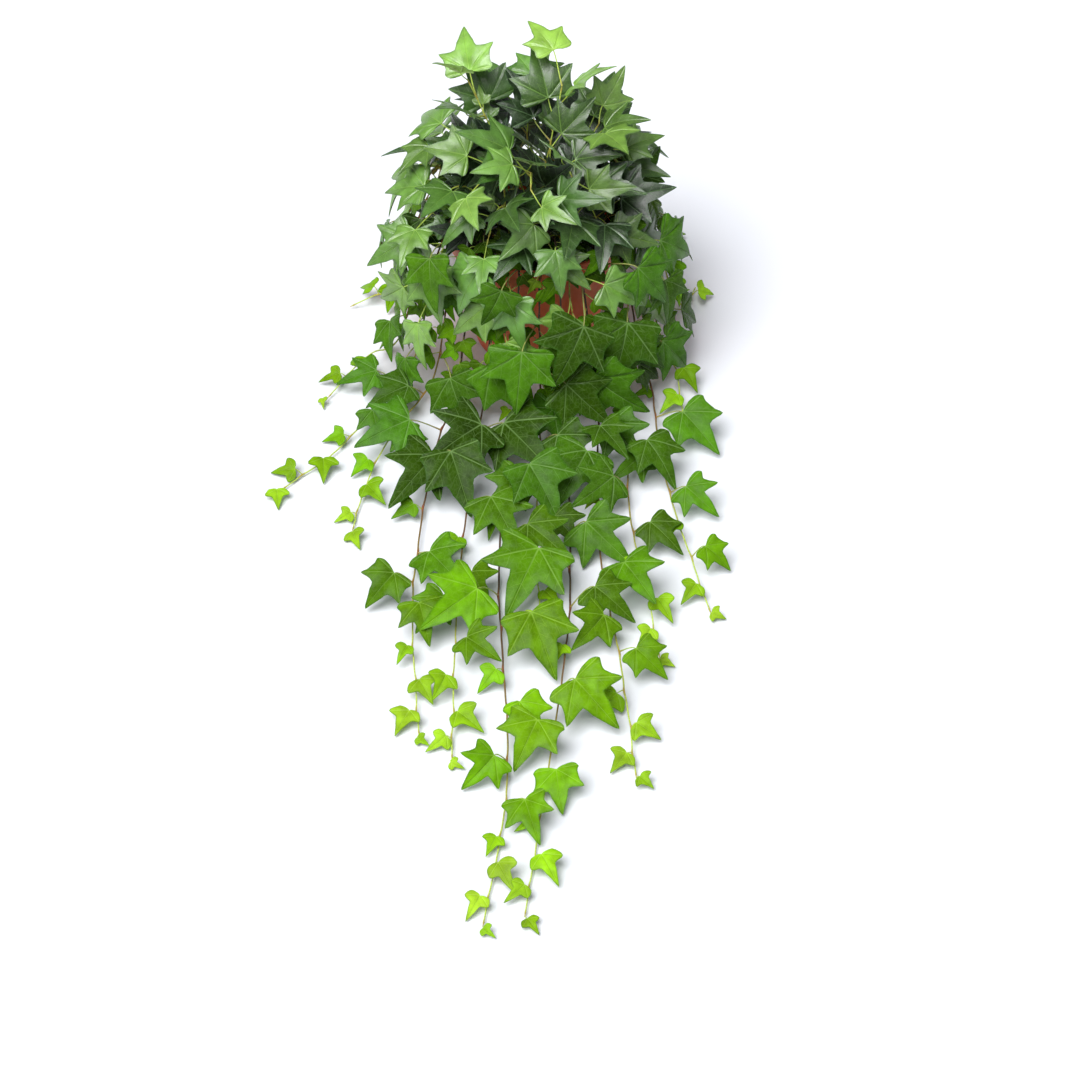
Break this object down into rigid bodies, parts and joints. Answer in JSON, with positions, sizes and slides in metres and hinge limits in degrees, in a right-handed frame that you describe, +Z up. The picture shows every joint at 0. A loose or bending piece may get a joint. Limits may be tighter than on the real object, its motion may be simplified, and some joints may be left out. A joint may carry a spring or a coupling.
{
  "type": "potted trailing english ivy",
  "caption": "English ivy with pointed lobed leaves, filling a round nursery pot: a full crown, and long leafy stems that hang over the rim and lie along the surface.",
  "frame": {"origin": "middle of the underside of the pot's foot, on the surface it stands on", "axes": "+Z up along the pot's axis, -Y towards the front, where the longest stems lie, +X to the right seen from the front"},
  "size_m": [0.3268, 0.7787, 0.2485],
  "materials": {
    "pot_terracotta": "satin",
    "soil_dark": "matte",
    "ivy_green": "satin"
  },
  "bodies": {
    "root": {"pot": "pot_terracotta", "soil": "soil_dark", "trail_left_short": "ivy_green", "trail_left": "ivy_green", "trail_left_mid": "ivy_green", "trail_left_front": "ivy_green", "trail_front_left": "ivy_green", "trail_front": "ivy_green", "trail_front_short": "ivy_green", "trail_front_right": "ivy_green", "trail_right_front": "ivy_green", "trail_right_mid": "ivy_green", "trail_right": "ivy_green", "trail_right_short": "ivy_green", "trail_side_right": "ivy_green", "trail_back_right": "ivy_green", "trail_back": "ivy_green", "trail_back_left": "ivy_green", "trail_side_left": "ivy_green", "shoot_01": "ivy_green", "shoot_02": "ivy_green", "shoot_03": "ivy_green", "shoot_04": "ivy_green", "shoot_05": "ivy_green", "shoot_06": "ivy_green", "shoot_07": "ivy_green", "shoot_08": "ivy_green", "shoot_09": "ivy_green", "shoot_10": "ivy_green", "shoot_11": "ivy_green", "shoot_12": "ivy_green", "shoot_13": "ivy_green", "shoot_14": "ivy_green", "shoot_15": "ivy_green", "shoot_16": "ivy_green", "shoot_17": "ivy_green", "shoot_centre_1": "ivy_green", "shoot_centre_2": "ivy_green", "shoot_centre_3": "ivy_green", "shoot_centre_4": "ivy_green", "shoot_centre_5": "ivy_green"}
  },
  "joints": []
}
